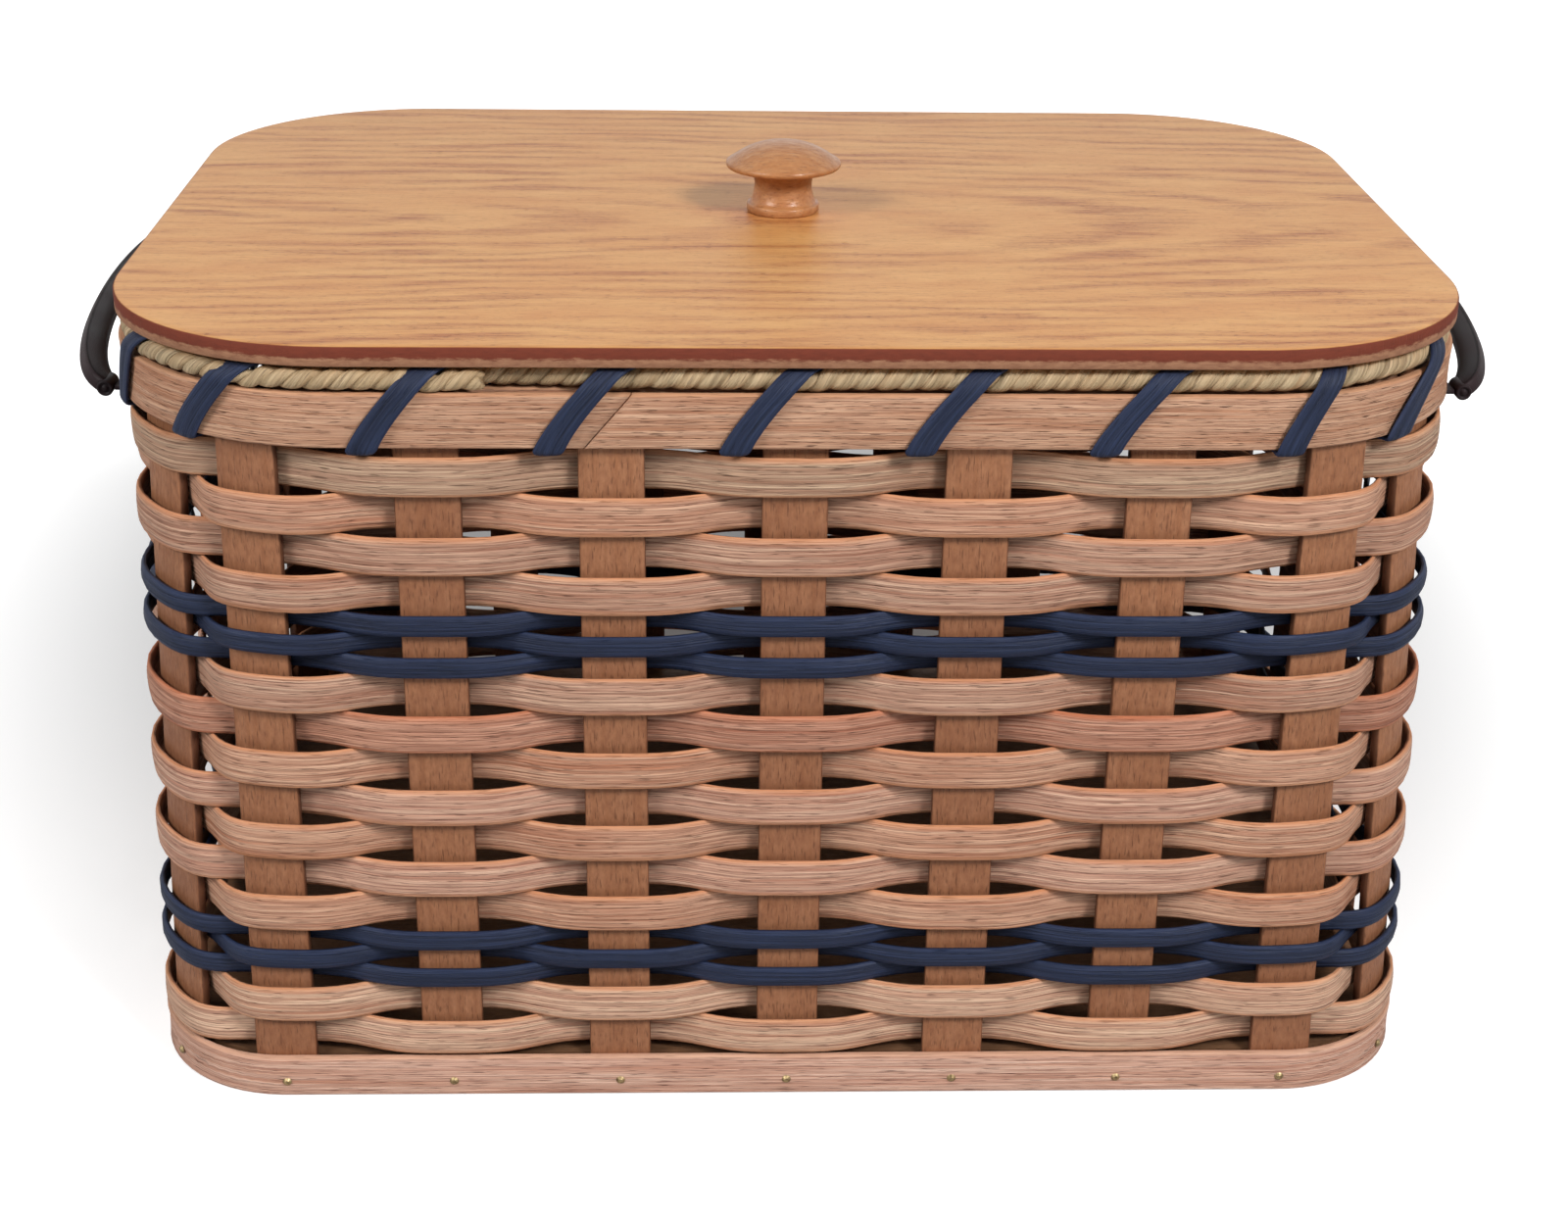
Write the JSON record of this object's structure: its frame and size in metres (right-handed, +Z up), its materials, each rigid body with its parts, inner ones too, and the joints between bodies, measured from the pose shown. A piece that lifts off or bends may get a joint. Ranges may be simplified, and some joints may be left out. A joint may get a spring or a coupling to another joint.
{
  "type": "bread box",
  "caption": "Oblong woven reed bread box on wooden stakes, with a nailed base band, a lashed rope rim, leather loop handles and a lift-off plywood lid with a turned knob.",
  "frame": {"origin": "on the ground under the middle of the base", "axes": "+Z up, +X along the long walls to the right, -Y towards the front"},
  "size_m": [0.4456, 0.3032, 0.2708],
  "materials": {
    "natural_reed": "satin, with grooves along its length",
    "dyed_reed": "satin, dyed navy",
    "stake": "oiled, fine grain",
    "band": "satin, with short dark fibres",
    "base_board": "plain sanded wood",
    "rope": "twisted grass rope, matt",
    "leather": "dark, polished",
    "lid": "oiled, with flat-sawn grain",
    "cleat": "plain sanded wood",
    "knob": "turned and lacquered",
    "brass": "worn brass brads",
    "steel": "plain screw"
  },
  "bodies": {
    "basket": {"base_board": "base_board", "base_band": "band", "base_brads": "brass", "stake_01": "stake", "stake_02": "stake", "stake_03": "stake", "stake_04": "stake", "stake_05": "stake", "stake_06": "stake", "stake_07": "stake", "stake_08": "stake", "stake_09": "stake", "stake_10": "stake", "stake_11": "stake", "stake_12": "stake", "stake_13": "stake", "stake_14": "stake", "stake_15": "stake", "stake_16": "stake", "stake_17": "stake", "stake_18": "stake", "stake_19": "stake", "stake_20": "stake", "stake_21": "stake", "stake_22": "stake", "stake_23": "stake", "stake_24": "stake", "weaver_row_01": "natural_reed", "weaver_row_02": "natural_reed", "weaver_row_03": "natural_reed", "weaver_row_04": "natural_reed", "weaver_row_05": "dyed_reed", "weaver_row_06": "dyed_reed", "weaver_row_07": "dyed_reed", "weaver_row_08": "natural_reed", "weaver_row_09": "natural_reed", "weaver_row_10": "natural_reed", "weaver_row_11": "natural_reed", "weaver_row_12": "natural_reed", "weaver_row_13": "natural_reed", "weaver_row_14": "natural_reed", "weaver_row_15": "dyed_reed", "weaver_row_16": "dyed_reed", "weaver_row_17": "dyed_reed", "weaver_row_18": "natural_reed", "weaver_row_19": "natural_reed", "rim_outer_band": "band", "rim_inner_band": "band", "rim_rope": "rope", "rim_lashing": "dyed_reed", "handle_tongues": "leather"},
    "lid": {"lid_panel": "lid", "lid_cleats": "cleat", "cleat_brads": "brass", "lid_knob": "knob", "knob_screw": "steel"},
    "handle_left": {"handle_left": "leather"},
    "handle_right": {"handle_right": "leather"}
  },
  "joints": [
    {"name": "lid_lift", "type": "slide", "parent": "basket", "child": "lid", "axis": [0, 0, 1], "range_m": [0, 0.15]},
    {"name": "handle_left_swing", "type": "hinge", "parent": "basket", "child": "handle_left", "pos_m": [-0.20633, 0, 0.2164], "axis": [0, 1, 0], "range_deg": [-112, 48], "stiffness_Nm_per_rad": 0.05},
    {"name": "handle_right_swing", "type": "hinge", "parent": "basket", "child": "handle_right", "pos_m": [0.20633, 0, 0.2164], "axis": [0, -1, 0], "range_deg": [-112, 48], "stiffness_Nm_per_rad": 0.05}
  ]
}
